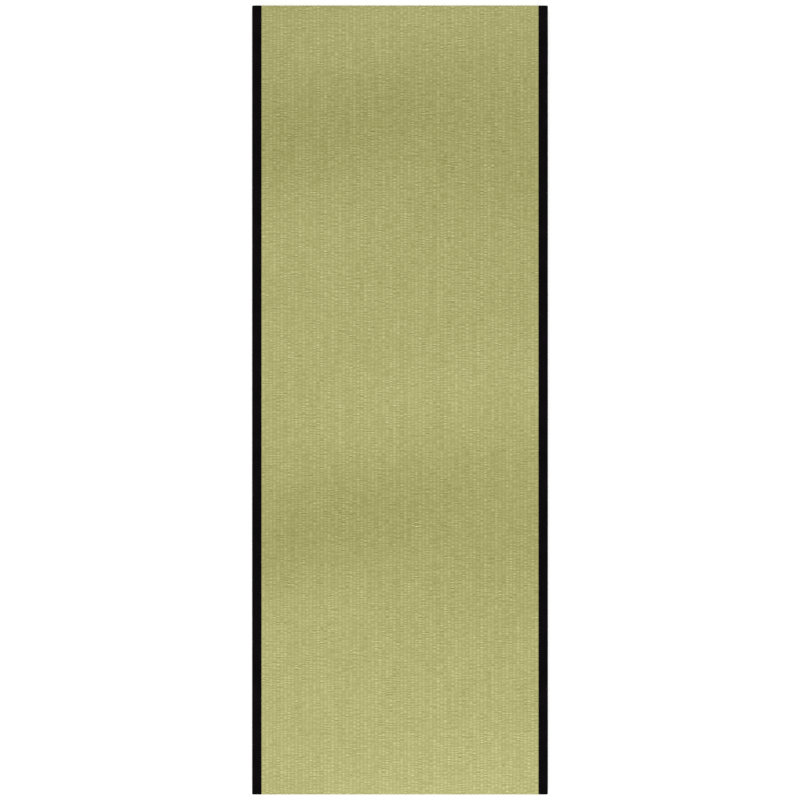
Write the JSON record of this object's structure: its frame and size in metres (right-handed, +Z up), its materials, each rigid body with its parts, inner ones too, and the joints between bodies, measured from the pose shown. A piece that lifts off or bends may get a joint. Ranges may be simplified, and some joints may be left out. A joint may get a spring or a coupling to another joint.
{
  "type": "tatami mat",
  "caption": "Flat, thick floor or bed mat: a straw slab covered with ribbed woven rush, with black cloth folded round its long sides.",
  "frame": {"origin": "middle of the underside, on the floor", "axes": "+X across the mat, +Y along it and along its rush ribs, +Z up out of the woven face"},
  "size_m": [0.75, 2, 0.055],
  "materials": {
    "woven_rush": "woven dried rush, satin",
    "black_cloth": "closely woven cotton, matt"
  },
  "bodies": {
    "root": {"rush_panel": "woven_rush", "edging_right": "black_cloth", "edging_left": "black_cloth"}
  },
  "joints": []
}
